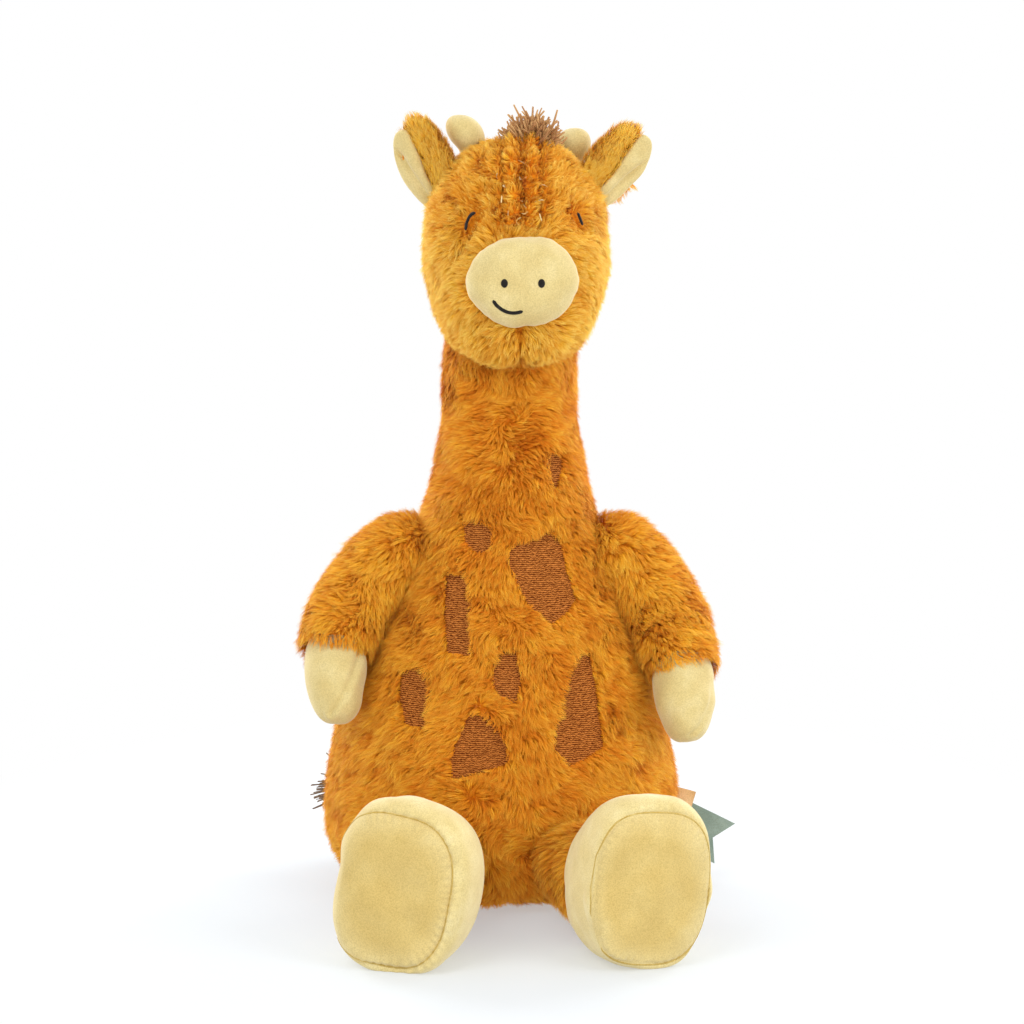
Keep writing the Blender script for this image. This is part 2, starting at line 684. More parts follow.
def arm_rings(side):
    home = vec(side, 1, 1) * ARM_HOME
    end = ARM_END[side]
    spine = [end * vec(*shares) for shares in ARM_SHARES]
    root, radii = ball_points(LIMB_RADIUS, unit(spine[0]))
    hand_ahead = unit(vec(end[0] * HAND_OUT[side], end[1], end[2] * HAND.drop))
    points = root + spine + [spine[-1] + hand_ahead * ARM_RADII[-1] / 2]
    radii = radii + [*ARM_RADII, ARM_RADII[-1] * 0.6]
    across = vec(side, 0, 0)
    sleeve = spine_rings([home + p for p in points], radii, radii, across)
    hand = spine_rings(
        [home + spine[-1] + hand_ahead * (HAND.long * rise - HAND.taken_in) for rise, _ in HAND_SHARES],
        [HAND.wide * size for _, size in HAND_SHARES], [HAND.deep * size for _, size in HAND_SHARES], across,
    )
    return sleeve, hand, home


def leg_rings(side):
    home = vec(side, 1, 1) * LEG_HOME
    ahead = vec(side * math.sin(LEG_SPLAY[side]), -math.cos(LEG_SPLAY[side]), 0)
    root, radii = ball_points(LIMB_RADIUS, ahead)
    points = root + [ahead * (LEG_LENGTH + LEG_TAKEN_IN) * 0.6, ahead * (LEG_LENGTH + LEG_TAKEN_IN)]
    radii = radii + [LIMB_RADIUS, LIMB_RADIUS * 0.9]
    sleeve = spine_rings([home + p for p in points], radii, radii, vec(1, 0, 0))
    lean = np.array(Matrix.Rotation(FOOT_LEAN[side], 3, Vector(-ahead)))
    up = lean @ vec(0, 0, 1)
    across = lean @ vec(-ahead[1], ahead[0], 0)
    foot = []
    for depth, width, low, high in FOOT_SHARES:
        along = ahead * (LEG_LENGTH - LEG_TAKEN_IN + FOOT.long * depth)
        middle = home + along + vec(0, 0, -LEG_HOME[2]) + up * FOOT.tall * (low + high) / 2
        foot.append(ring(middle, across * FOOT.wide * width, up * FOOT.tall * (high - low) / 2))
    return sleeve, foot, SimpleNamespace(hip=home, out=ahead, up=up, across=across)


def ear_frame(side):
    ahead = EAR_AHEAD[side]
    facing = unit(EAR_FACING[side] - ahead * np.dot(EAR_FACING[side], ahead))
    home = vec(HEAD.aside + side * EAR.apart, EAR.back, NOD + EAR.rise)
    across = np.cross(ahead, facing)
    return SimpleNamespace(home=home, ahead=ahead, facing=facing, across=across, outward=across * side)


def ear_rings(ear):
    rings = []
    for rise, width, thickness, cupping in EAR_SHARES:
        cup = EAR.cup * cupping
        place = ear.home + ear.ahead * EAR.long * rise + ear.facing * (0 - cup / 3)
        rings.append(ring(
            place, ear.across * (EAR.wide * width), ear.facing * EAR.thick * thickness, ear.facing * cup
        ))
    return rings


def crown_height(across, back):
    """Height of the head's top, for the horns' feet."""
    share = min(math.hypot((across - HEAD.aside) / HEAD.wide, back / HEAD.deep), 0.95)
    top = HEAD.height - HEAD.below
    return NOD + top - HEAD.height / 2 * (1 - math.sqrt(1 - share * share))


def back_surface(across):
    return BELLY.deep * math.sqrt(1 - min(abs(across - BELLY.aside) / BELLY.wide, 1) ** 2) - BELLY.back


def tail_rings():
    root_place = vec(0, back_surface(0) + TAIL.root / 3, TAIL.height)
    spine = []
    for share in TAIL_SHARES:
        across = TAIL.reach * share
        spine.append(vec(across, back_surface(across) + TAIL.radius + TAIL.gap, TAIL.height))
    root, radii = ball_points(TAIL.root, unit(spine[0] - root_place))
    ahead = unit(spine[-1] - spine[-2])
    points = [root_place + p for p in root] + spine + [spine[-1] + ahead * TAIL.radius]
    radii = radii + [TAIL.radius] * len(TAIL_SHARES) + [TAIL.radius * 0.6]
    return spine_rings(points, radii, radii, vec(0, 0, 1)), spine[-1] + ahead * TAIL.radius / 2, ahead


# Pile: thousands of fine tapered blades, drawn together in tufts

DENSITY = 3.8                    # blades to a square millimetre
BLADE_WIDTH = 0.00029
BOW = math.radians(22)           # how far a blade bows over, either way from its lean
LOCK_SIZE, DRIFT_SIZE = 0.011, 0.024
LEAST_LEAN, MOST_LEAN = 8, 72
LOWER_SHARE = 0.48               # of a blade, up to where it bows over
ABOVE_FLOOR = 0.0004
TONE_STRIP = 0.004               # half a blade's width in the colour map
PIECE_BLADES = 62000             # most blades in one piece


def bowed(start, normals, way, angle, long):
    """Middles and tips of blades that lean by these angles and bow over."""
    def aim(a):
        return normals * np.cos(a)[:, None] + way * np.sin(a)[:, None]

    mid = start + aim(np.maximum(angle - BOW, 0.05)) * (long * LOWER_SHARE)[:, None]
    return mid, mid + aim(np.minimum(angle + BOW, 1.75)) * (long * (1 - LOWER_SHARE))[:, None]


class Pile:
    def __init__(self, seed):
        self.rng = np.random.default_rng(seed)
        self.parts = []

    def grow(
        self, places, normals, way, length=0.0086, lean=40, spread=18, clump=0.0017, gather=0.78,
        tone=0.5, tone_spread=0.19, swirl=0.45, swirl_size=0.03,
    ):
        """Blades from these places, lying the given way; angles are in degrees."""
        rng = self.rng
        count = len(places)
        length, lean, tone = (np.broadcast_to(np.asarray(v, float), (count,)) for v in (length, lean, tone))
        # the pile rises and falls in soft locks
        locks = Waves(int(rng.integers(1 << 30)), LOCK_SIZE)(places)
        drifts = Waves(int(rng.integers(1 << 30)), DRIFT_SIZE)(places)
        length = length * (1 + 0.09 * locks)
        lean = np.clip(lean + 4 * drifts + 4 * locks, LEAST_LEAN, MOST_LEAN)
        seed = int(rng.integers(1 << 30))
        wander = np.stack([Waves(seed + i, swirl_size)(places) for i in range(3)], axis=1)
        flow = unit(level(unit(way) + wander * np.reshape(swirl, (-1, 1)), normals))
        # tufts: every blade belongs to the nearest tuft centre
        centres = rng.choice(count, max(1, count // int(DENSITY * (clump * 1000) ** 2)), replace=False)
        tree = KDTree(len(centres))
        for i, c in enumerate(centres):
            tree.insert(places[c], i)
        tree.balance()
        owner = np.fromiter((tree.find(p)[1] for p in places), int, count)
        jitter = rng.normal(size=(len(centres), 3)) * 0.32
        tuft_flow = unit(level(unit(flow[centres] + jitter), normals[centres]))
        tuft_lean = np.radians(lean[centres] + rng.normal(size=len(centres)) * 9)
        tuft_length = length[centres] * rng.uniform(0.85, 1.15, len(centres))
        tuft_tone = rng.normal(size=len(centres)) * tone_spread + tone[centres]
        own = unit(level(unit(flow + rng.normal(size=(count, 3)) * math.radians(spread)), normals))
        own_lean = np.radians(lean + rng.normal(size=count) * spread * 0.6)
        own_length = length * rng.uniform(0.75, 1.12, count)
        mid, tip = bowed(places, normals, own, own_lean, own_length)
        tuft = bowed(places[centres], normals[centres], tuft_flow, tuft_lean, tuft_length)
        pull = (gather * rng.uniform(0.6, 1.15, count))[:, None]
        mid = mid + (tuft[0][owner] - mid) * pull * 0.38
        tip = tip + (tuft[1][owner] - tip) * pull
        side = unit(np.cross(tip - places, normals))
        twist = rng.normal(size=count) * 0.5
        side = side * np.cos(twist)[:, None] + normals * np.sin(twist)[:, None]
        half = (BLADE_WIDTH * rng.uniform(0.75, 1.25, count) / 2)[:, None]
        tuft_tone = tuft_tone + 0.10 * locks[centres] + 0.07 * drifts[centres]
        shade = np.clip(tuft_tone[owner] + rng.normal(size=count) * 0.13, 0.01, 0.99)
        # each tuft is shaded as a small rounded lock
        off = level(places - places[centres[owner]], normals)
        facing = unit(normals + off / clump * 0.75 + rng.normal(size=(count, 3)) * 0.16)
        # a blade that stands up is seen from both sides, so it keeps its own normal
        own_face = unit(np.cross(side, tip - places))
        lying = np.clip(dots(own_face, normals) * 1.4 - 0.2, 0, 1)[:, None]
        facing = unit(facing * lying + own_face * (1 - lying))
        for end in (mid, tip):
            end[:, 2] = np.maximum(end[:, 2], ABOVE_FLOOR)
        self.parts.append((places, mid, tip, side * half, shade, facing))

    def build(self, name, material, body):
        """Mesh pieces, split by height so that each stays a compact patch."""
        root, mid, tip, half, shade, facing = (np.concatenate(x) for x in zip(*self.parts))
        order = np.argsort(root[:, 2], kind="stable")
        for number, chosen in enumerate(np.array_split(order, max(1, math.ceil(len(order) / PIECE_BLADES)))):
            r, m, t, h = root[chosen], mid[chosen], tip[chosen], half[chosen]
            count = len(chosen)
            verts = np.stack([r - h, r + h, m + h * 0.8, m - h * 0.8, t], axis=1).astype(np.float32)
            base = (np.arange(count) * 5)[:, None]
            faces = np.concatenate([base + [0, 1, 2], base + [0, 2, 3], base + [3, 2, 4]], axis=1).reshape(-1)
            mesh = bpy.data.meshes.new(f"{name}_{number}")
            mesh.vertices.add(count * 5)
            mesh.vertices.foreach_set("co", verts.reshape(-1))
            mesh.loops.add(count * 9)
            mesh.loops.foreach_set("vertex_index", faces.astype(np.int32))
            mesh.polygons.add(count * 3)
            mesh.polygons.foreach_set("loop_start", (np.arange(count * 3) * 3).astype(np.int32))
            mesh.update(calc_edges=True)
            corner = np.empty((count, 5, 2), np.float32)
            for k, (share, v) in enumerate(((-1, 0.02), (1, 0.02), (0.8, 0.48), (-0.8, 0.48), (0, 0.98))):
                corner[:, k, 0] = shade[chosen] * 0.98 + 0.01 + share * TONE_STRIP
                corner[:, k, 1] = v
            uv = mesh.uv_layers.new(name="OFBake")
            uv.data.foreach_set("uv", corner.reshape(-1, 2)[faces].reshape(-1))
            mesh.shade_smooth()
            own = mesh.attributes.new("custom_normal", "FLOAT_VECTOR", "POINT")
            own.data.foreach_set("vector", np.repeat(facing[chosen], 5, axis=0).astype(np.float32).reshape(-1))
            mesh.materials.append(material)
            obj = bpy.data.objects.new(f"{name}_{number}", mesh)
            scene.collection.objects.link(obj)
            put(obj, body, "fur")


def front_more(normals):
    """More pile on what faces the camera."""
    return np.where(normals[:, 1] < 0.3, 1.25, 0.8)


# Reliefs: how far the forms rise or sink

DEEPEST = 0.0009
STITCH_COLUMNS = (-0.0030, 0.0058, 0.0146)
BROW_ROW = 0.0078
EYE_SPOTS = {RIGHT: vec(-0.0203, 0, 0.3466), LEFT: vec(0.0343, 0, 0.3478)}
CHIN_PARTING = 0.0050


def torso_relief(p, n):
    height = LUMPS(p) * 0.0007
    front = smooth_step(0.0, -0.03, p[:, 1])
    height -= 0.0022 * bump(p[:, 0] + 0.0020, 0.0022) * smooth_step(0.095, 0.06, p[:, 2]) * front
    side_seam = bump(p[:, 1] + BELLY.back, 0.0025) * smooth_step(0.14, 0.11, p[:, 2])
    return np.clip(height - 0.0016 * side_seam, -DEEPEST, 0.003)


def brow_share(p):
    """Where the gathered brow lies: 1 between the stitched columns."""
    across = smooth_step(0.0135, 0.0095, np.abs(p[:, 0] - STITCH_COLUMNS[1]))
    return across * smooth_step(0.338, 0.346, p[:, 2]) * smooth_step(0.010, -0.005, p[:, 1])


def head_relief(p, n):
    height = LUMPS(p + 0.1) * 0.0005
    front = smooth_step(0.005, -0.02, p[:, 1])
    brow = brow_share(p)
    rows = 0.5 + 0.5 * np.cos(TURN * p[:, 2] / BROW_ROW + WOBBLE(p) * 1.1)
    height += brow * (0.0022 + 0.0024 * rows)
    for x in STITCH_COLUMNS:
        height -= 0.0056 * bump(p[:, 0] - x - WOBBLE(p) * 0.0007, 0.0018) * brow
    for middle in EYE_SPOTS.values():
        height -= 0.0034 * bump(np.hypot(p[:, 0] - middle[0], p[:, 2] - middle[2]), 0.0085) * front
    height -= 0.0030 * bump(p[:, 0] - CHIN_PARTING, 0.0022) * smooth_step(0.305, 0.292, p[:, 2]) * front
    return np.clip(height, -DEEPEST, 0.005)


def muzzle_relief(p, n):
    angle = np.arctan2(p[:, 2] - NOD - MUZZLE.rise, p[:, 0] - HEAD.aside - FACE_SHIFT)
    rim = smooth_step(-0.070, -0.056, p[:, 1])
    height = 0.0004 * LUMPS(p * 2.2)
    height -= 0.0011 * bump(angle - math.pi / 2 - 0.2, 0.30) * (0.35 + 0.65 * rim)
    height -= 0.0013 * bump(angle + 1.50, 0.11) * (0.12 + 0.88 * rim)
    height += rim * 0.00012 * np.sin(angle * 23 + 1.7 * np.sin(angle * 5))
    height -= 0.0011 * np.maximum(-n[:, 0], 0) + 0.0006 * np.maximum(n[:, 0], 0) + 0.0010 * np.maximum(-n[:, 2], 0)
    return np.maximum(height, -0.0017)


TORSO = form(torso_rings(), 12, 4)
HEAD_FORM = form(head_rings(), 10, 5)
MUZZLE_FORM = form(muzzle_rings(), 8, 5, 0.02).sculpted(muzzle_relief)
ARMS, HANDS, LEGS, FEET, EARS = {}, {}, {}, {}, {}
SHOULDER, LIMB, EAR_FRAME = {}, {}, {}
for side in SIDES:
    sleeve, hand, SHOULDER[side] = arm_rings(side)
    ARMS[side], HANDS[side] = form(sleeve, 8), form(hand, 8)
    sleeve, foot, LIMB[side] = leg_rings(side)
    LEGS[side], FEET[side] = form(sleeve, 8), form(foot, 8, 5, 0.15)
    EAR_FRAME[side] = ear_frame(side)
    EARS[side] = form(ear_rings(EAR_FRAME[side]), 8)

camera()
lights()
floor()

# Spots: outlines in millimetres, across and up, as seen from the front

SPOTS = {
    "spot_neck": ((20.1, 227.5), (23.6, 227.0), (24.2, 219.9), (21.7, 212.3), (19.6, 216.4)),
    "spot_chest_right": (
        (-21.5, 192.9), (-15.0, 193.9), (-10.0, 190.3), (-10.5, 182.8), (-16.0, 180.8), (-20.5, 184.8),
    ),
    "spot_chest_left": (
        (1.5, 181.6), (10.5, 185.6), (19.4, 188.7), (22.9, 186.1), (24.9, 178.6), (25.9, 172.1), (28.9, 163.5),
        (31.0, 155.4), (26.0, 149.8), (19.0, 145.3), (11.5, 153.4), (5.5, 163.5), (0.5, 175.1),
    ),
    "spot_side_right": (
        (-29.9, 167.3), (-21.9, 167.3), (-20.0, 148.7), (-20.0, 130.9), (-29.5, 131.9), (-30.9, 148.7),
    ),
    "spot_hip_right": (
        (-52.5, 119.3), (-43.0, 121.8), (-40.5, 110.1), (-41.1, 95.3), (-50.6, 95.8), (-53.6, 108.1),
    ),
    "spot_middle": (
        (-3.9, 132.5), (1.5, 131.5), (4.4, 122.0), (2.0, 109.5), (-3.9, 110.5), (-6.9, 117.0), (-6.4, 127.5),
    ),
    "spot_belly": (
        (-18.8, 100.9), (-12.8, 100.9), (-4.0, 90.4), (-2.0, 80.3), (-13.9, 74.7), (-26.8, 71.2), (-27.7, 79.3),
        (-25.2, 87.3),
    ),
    "spot_hip_left": (
        (33.3, 129.7), (37.7, 129.7), (40.7, 115.1), (42.8, 97.9), (44.8, 84.7), (35.9, 79.6), (27.4, 76.6),
        (21.4, 88.2), (22.4, 98.9), (28.8, 118.1),
    ),
}
SPOTS = {name: metres(outline) for name, outline in SPOTS.items()}
EYES = {
    RIGHT: metres(((-15.2, 348.9), (-16.9, 348.6), (-18.4, 346.6), (-19.4, 343.8), (-19.8, 340.8))),
    LEFT: metres(((31.0, 349.0), (31.9, 346.6), (33.3, 343.0))),
}


def spot_gap(p):
    """Distance to the nearest spot's edge on the front, negative within it."""
    best = np.full(len(p), 1.0)
    front = p[:, 1] < 0
    for outline in SPOTS.values():
        best[front] = np.minimum(best[front], outline_gap(p[front, 0], p[front, 2], outline))
    return best


def eye_gap(p):
    gaps = [line_gap(p[:, 0], p[:, 2], line) for line in EYES.values()]
    return np.where(p[:, 1] < 0, np.minimum(*gaps), 1.0)


# Fur cloth under the pile

LOWEST = 0.0002
TORSO_CLOTH = TORSO.moved(-PILE).sculpted(torso_relief)
HEAD_CLOTH = HEAD_FORM.moved(-PILE).sculpted(head_relief)
TORSO_CLOTH.points[:, 2] = np.maximum(TORSO_CLOTH.points[:, 2], LOWEST)
put_form("torso_cloth", TORSO_CLOTH, BACKING, "torso", "fur", 0.7, "torso_skin")
put_form("head_cloth", HEAD_CLOTH, BACKING, "head", "fur", 0.75, "head_skin")
for side, word in SIDES.items():
    sleeve, leg = ARMS[side].moved(-PILE), LEGS[side].moved(-PILE)
    put_form(f"sleeve_cloth_{word}", sleeve, BACKING, f"arm_{word}", "fur", 0.6, f"arm_skin_{word}")
    put_form(f"leg_cloth_{word}", leg, BACKING, f"leg_{word}", "fur", 0.7, f"leg_skin_{word}")


# Which way the pile lies

WHORL = vec(0.0025, -0.034, 0.231)
MOUTH = vec(FACE_ASIDE, -0.06, NOD + MUZZLE.rise)


def torso_flow(p):
    """Down, apart below, and away from the whorl on the neck's front."""
    down = np.tile(vec(0, 0, -1.0), (len(p), 1))
    from_whorl = p - WHORL
    away = np.linalg.norm(from_whorl, axis=1)
    front = smooth_step(0.02, -0.03, p[:, 1])
    down += from_whorl / away[:, None] * (bump(away, 0.035) * 1.8 * front)[:, None]
    out = np.sign(p[:, 0]) * smooth_step(0.0, 0.02, np.abs(p[:, 0]))
    low = smooth_step(0.16, 0.06, p[:, 2])
    down[:, 0] += out * (0.25 + 0.75 * low) * front
    down[:, 2] += low * front * 0.2
    return down


def head_flow(p):
    """Away from the muzzle, back over the crown, down behind, and up in rows on the brow."""
    crown = smooth_step(NOD + 0.055, NOD + 0.085, p[:, 2])
    flow = unit(p - MOUTH) * (1 - crown)[:, None]
    flow[:, 2] -= 0.9 * (1 - crown) * smooth_step(0.0, 0.03, np.abs(p[:, 0] - MOUTH[0]))
    flow += crown[:, None] * np.stack([0.4 * np.sign(p[:, 0]), np.full(len(p), 0.9), np.full(len(p), -0.2)], axis=1)
    back = smooth_step(0.0, 0.03, p[:, 1])
    flow += back[:, None] * vec(0, 0, -1.5)
    for middle in EYE_SPOTS.values():
        away = (p - middle) * vec(1, 0, 1)
        flow += unit(away) * (2.2 * bump(np.linalg.norm(away, axis=1), 0.009) * (1 - back))[:, None]
    brow = brow_share(p)
    rows = np.sin(TURN * p[:, 2] / BROW_ROW + WOBBLE(p) * 1.1)
    curl = np.stack([0.2 * np.sign(p[:, 0] - STITCH_COLUMNS[1]), np.zeros(len(p)), 0.5 + 0.5 * rows], axis=1)
    flow = flow * (1 - brow)[:, None] + curl * brow[:, None]
    flow[:, 0] += smooth_step(0.312, 0.296, p[:, 2]) * (1 - back) * np.sign(p[:, 0] - CHIN_PARTING) * 0.9
    return flow


def arm_flow(n, side):
    """Outward over the shoulder, down the sleeve, and never towards the front on its top."""
    top = smooth_step(0.1, 0.9, n[:, 2])[:, None]
    return (unit(ARM_END[side]) + vec(side * 0.1, 0, -0.55)) * (1 - top) + vec(side * 0.9, 0.25, -0.2) * top


# Pile of the torso: it keeps clear of the spots, and isn't grown deep inside the limbs and the head

places, normals = TORSO_CLOTH.scatter(np.random.default_rng(11), DENSITY, front_more)
mask = (places[:, 2] > 0.004) & (places[:, 2] < NOD + 0.012) & (spot_gap(places) > 0.0008)
places, normals = keep(mask, places, normals)
for blocker in [ARMS[s] for s in SIDES] + [LEGS[s] for s in SIDES]:
    places, normals = keep(~blocker.holds(places + normals * 0.005, 0.012), places, normals)
places, normals = keep(~HEAD_FORM.holds(places, 0.016), places, normals)
pile = Pile(21)
length = 0.0078 + 0.0008 * smooth_step(0.17, 0.10, places[:, 2])
length = length * blend(0.68, 1.0, smooth_step(0.0, 0.006, spot_gap(places)))
standing = bump(np.linalg.norm(places - WHORL, axis=1), 0.020)
# redder down the middle of the front, where the pile is rubbed apart
middle_share = bump(places[:, 0], 0.045) * (places[:, 1] < 0)
pile.grow(
    places, normals, torso_flow(places), length=length, lean=43 - 29 * standing, spread=23, clump=0.0015,
    tone=0.47 - 0.20 * middle_share - 0.10 * standing, swirl=0.20 + 0.25 * middle_share, swirl_size=0.024,
)
pile.build("torso_pile", FUR, "torso")

# Pile of the head: shorter and fluffed up on the forehead, and short around the eyes

places, normals = HEAD_CLOTH.scatter(np.random.default_rng(12), DENSITY, front_more)
places, normals = keep(~MUZZLE_FORM.holds(places, 0.001) & (eye_gap(places) > 0.0006), places, normals)
places, normals = keep(~TORSO.holds(places, 0.007), places, normals)
pile = Pile(22)
gap = eye_gap(places)
brow = brow_share(places)
upper = smooth_step(NOD + 0.045, NOD + 0.06, places[:, 2]) * smooth_step(0.0, -0.02, places[:, 1])
furrow = np.max([bump(places[:, 0] - x - WOBBLE(places) * 0.0007, 0.0023) for x in STITCH_COLUMNS], axis=0) * brow
parting = bump(places[:, 0] - CHIN_PARTING, 0.0020) * smooth_step(0.305, 0.295, places[:, 2]) * (places[:, 1] < 0)
length = 0.0085 - 0.0012 * upper - 0.0027 * brow
length = length * blend(0.36, 1.0, smooth_step(0.001, 0.008, gap)) * (1 - 0.45 * furrow - 0.30 * parting)
tone = 0.50 - 0.12 * upper - 0.75 * furrow - 0.40 * parting - 0.38 * bump(gap, 0.0050) + 0.14 * brow
tone = tone + 0.22 * smooth_step(0.5, 0.95, np.abs(normals[:, 0])) * (1 - upper)
fluffed = np.random.default_rng(13).uniform(size=len(places)) < upper * (1 - brow)
p, n, long, shade = keep(fluffed, places, normals, length, tone)
pile.grow(
    p, n, head_flow(p), length=long * 0.84, lean=34, spread=27, clump=0.0014, tone=shade, tone_spread=0.24,
    swirl=0.6, swirl_size=0.012,
)
p, n, long, shade, brow = keep(~fluffed, places, normals, length, tone, brow)
pile.grow(
    p, n, head_flow(p), length=long, lean=44 - 22 * brow, tone=shade, tone_spread=0.18, swirl=0.27 - 0.12 * brow,
)
pile.build("head_pile", HEAD_FUR, "head")

# Hands: a seam runs down each

HAND_SHIFTS = {RIGHT: vec(0.0019, 0, 0.0018), LEFT: vec(-0.0016, 0, 0.0014)}
HAND_SEAMS = {
    RIGHT: metres(((-76.6, 139.7), (-78.2, 126.5), (-80.8, 116.8), (-84.9, 108.6), (-90.0, 101.0))),
    LEFT: metres(((103.1, 114.2), (101.2, 105.0), (96.7, 96.9), (90.2, 90.7))),
}


def hand_relief(p, n, side):
    gap = line_gap(p[:, 0], p[:, 2], HAND_SEAMS[side]) + (n[:, 1] > 0)
    height = LUMPS(p * 2.2) * 0.0004 - 0.0015 * bump(gap, 0.0009) + 0.0004 * bump(gap - 0.0028, 0.0014)
    return np.maximum(height + n @ HAND_SHIFTS[side], -0.0015)


# Feet: a puckered seam runs around each sole

SOLE_PLAN = SimpleNamespace(wide=0.0325, tall=0.0405, power=2.8, shift=0.0014, seam=0.90, starts=0.85)
FOOT_SHIFTS = {RIGHT: (-0.0030, 0.0), LEFT: (0.0, -0.0014)}
SEAM_STEPS = 181


def foot_plan(p, side):
    """Depth along the foot, places across and up it, and how far out a point is: 1 at the outline."""
    limb = LIMB[side]
    local = p - limb.hip
    x = local @ limb.across - side * SOLE_PLAN.shift
    z = local @ limb.up + LEG_HOME[2] - FOOT.tall / 2 + SOLE_PLAN.shift
    power = SOLE_PLAN.power
    reach = (np.abs(x / SOLE_PLAN.wide) ** power + np.abs(z / SOLE_PLAN.tall) ** power) ** (1 / power)
    return local @ limb.out, x, z, reach


def foot_relief(p, n, side):
    _, x, z, reach = foot_plan(p, side)
    face = smooth_step(0.5, 0.9, n @ LIMB[side].out)
    angle = np.arctan2(z, x)
    gap = (reach - SOLE_PLAN.seam) * 0.033
    inner, both = FOOT_SHIFTS[side]
    height = LUMPS(p * 1.6 + side) * 0.0006 + inner * n[:, 0] + both * np.abs(n[:, 0])
    height -= 0.0016 * bump(gap, 0.0010) * face
    pucker = np.sin(angle * 52 + 2.0 * np.sin(angle * 7 + side))
    height += 0.00035 * pucker * bump(np.abs(gap) - 0.0015, 0.0022) * face
    height += 0.0012 * face * smooth_step(SOLE_PLAN.seam, SOLE_PLAN.seam - 0.35, reach)
    dents = bump(np.hypot(x + 0.016 * side, z - 0.006), 0.008) + bump(np.hypot(x + 0.010 * side, z + 0.010), 0.005)
    return np.maximum(height - face * 0.0011 * dents, -0.0015)


def sole_seam(foot, side, body):
    """The sole's seam, drawn in by its thread."""
    limb = LIMB[side]
    line, facings = [], []
    for k in range(SEAM_STEPS):
        a = TURN * k / (SEAM_STEPS - 1)
        c, s = math.cos(a), math.sin(a)
        power = SOLE_PLAN.power
        reach = abs(c / SOLE_PLAN.wide) ** power + abs(s / SOLE_PLAN.tall) ** power
        reach = SOLE_PLAN.seam / reach ** (1 / power)
        rise = reach * s - LEG_HOME[2] + FOOT.tall / 2 - SOLE_PLAN.shift
        spot = limb.hip + limb.across * (reach * c + side * SOLE_PLAN.shift) + limb.up * rise + limb.out * 0.12
        place, normal, _, _ = foot.tree.ray_cast(Vector(spot), Vector(-limb.out))
        if place is not None and normal.dot(Vector(limb.out)) > 0.25:
            line.append(np.array(place) + limb.out * 0.00005 * math.sin(k * 1.9))
            facings.append(np.array(normal))
    thread = tube(f"foot_seam_{SIDES[side]}", line, [0.00042] * len(line), SEAM, 6, 0.7, facings)
    put(thread, body, "minky")


# Sleeves, legs, hands and feet

for side, word in SIDES.items():
    arm, leg, end = f"arm_{word}", f"leg_{word}", ARM_END[side]
    rng = np.random.default_rng(30 + side)
    places, normals = ARMS[side].moved(-PILE).scatter(rng, DENSITY, front_more)
    places, normals = keep(~TORSO.holds(places, 0.007), places, normals)
    places, normals = keep(~HANDS[side].holds(places, 0.001), places, normals)
    cuff = smooth_step(0.80, 1.05, (places - SHOULDER[side]) @ unit(end) / np.linalg.norm(end))
    pile = Pile(40 + side)
    pile.grow(
        places, normals, arm_flow(normals, side), length=0.0086 + 0.0012 * cuff, lean=43 + 12 * cuff,
        tone=0.60, swirl=0.25,
    )
    pile.build(f"sleeve_pile_{word}", FUR, arm)

    places, normals = LEGS[side].moved(-PILE).scatter(rng, DENSITY)
    places, normals = keep(places[:, 2] > 0.003, places, normals)
    places, normals = keep(~TORSO.holds(places, 0.006), places, normals)
    places, normals = keep(~FEET[side].holds(places, 0.001), places, normals)
    pile = Pile(50 + side)
    pile.grow(places, normals, vec(0, 0.15, -1.0), length=0.0085, lean=46, swirl=0.25)
    pile.build(f"leg_pile_{word}", FUR, leg)

    hand = HANDS[side].sculpted(hand_relief, side)
    put_form(f"hand_{word}", hand, MINKY, arm, "minky", 0.8, f"hand_skin_{word}")
    foot = FEET[side].sculpted(foot_relief, side)
    foot.points[:, 2] = np.maximum(foot.points[:, 2], LOWEST)
    depth, _, _, reach = foot_plan(FEET[side].points[foot.quads].mean(axis=1), side)
    sole_start = LEG_LENGTH - LEG_TAKEN_IN + FOOT.long * SOLE_PLAN.starts
    is_sole = (depth > sole_start) & (reach < SOLE_PLAN.seam)
    for part, chosen, look in (("upper", ~is_sole, SIDE), ("sole", is_sole, SOLE)):
        used, where = np.unique(foot.quads[chosen], return_inverse=True)
        faces = where.reshape(-1, 4).tolist()
        piece = mesh_object(f"foot_{part}_piece_{word}", foot.points[used], faces, look)
        put(piece, leg, "minky", 0.8, f"foot_{part}_{word}")
    sole_seam(foot, side, leg)

# Muzzle with its stitched nose and mouth, and the stitched eyes and brow

STITCH_WIDTH = 0.0019
EYE_LIFT = 0.0040
SMILE = metres(((-8.3, 308.6), (-6.6, 306.0), (-3.9, 303.9), (-1.2, 302.6), (1.7, 302.2), (4.4, 302.6), (6.3, 303.3)))
NOSTRILS = {LEFT: (0.0154, 0.3169), RIGHT: (-0.0027, 0.3169)}
NOSTRIL_RADII = (0.0018, 0.0023)
NOSTRIL_SHARES = ((-0.0012, 0.9), (0, 1.0), (0.0006, 0.8), (0.0009, 0.3))
BROW_STITCHES = metres((
    (-3.0, 361.2), (4.9, 366.6), (6.9, 355.3), (14.3, 354.4), (-4.4, 349.0), (4.9, 345.0), (14.6, 362.0),
    (-3.4, 355.0), (5.6, 372.0), (13.8, 346.8), (-2.2, 367.5), (5.4, 350.2),
))
BROW_STITCH = SimpleNamespace(half=0.0017, tilt=0.0005, width=0.00065, lift=0.0048)


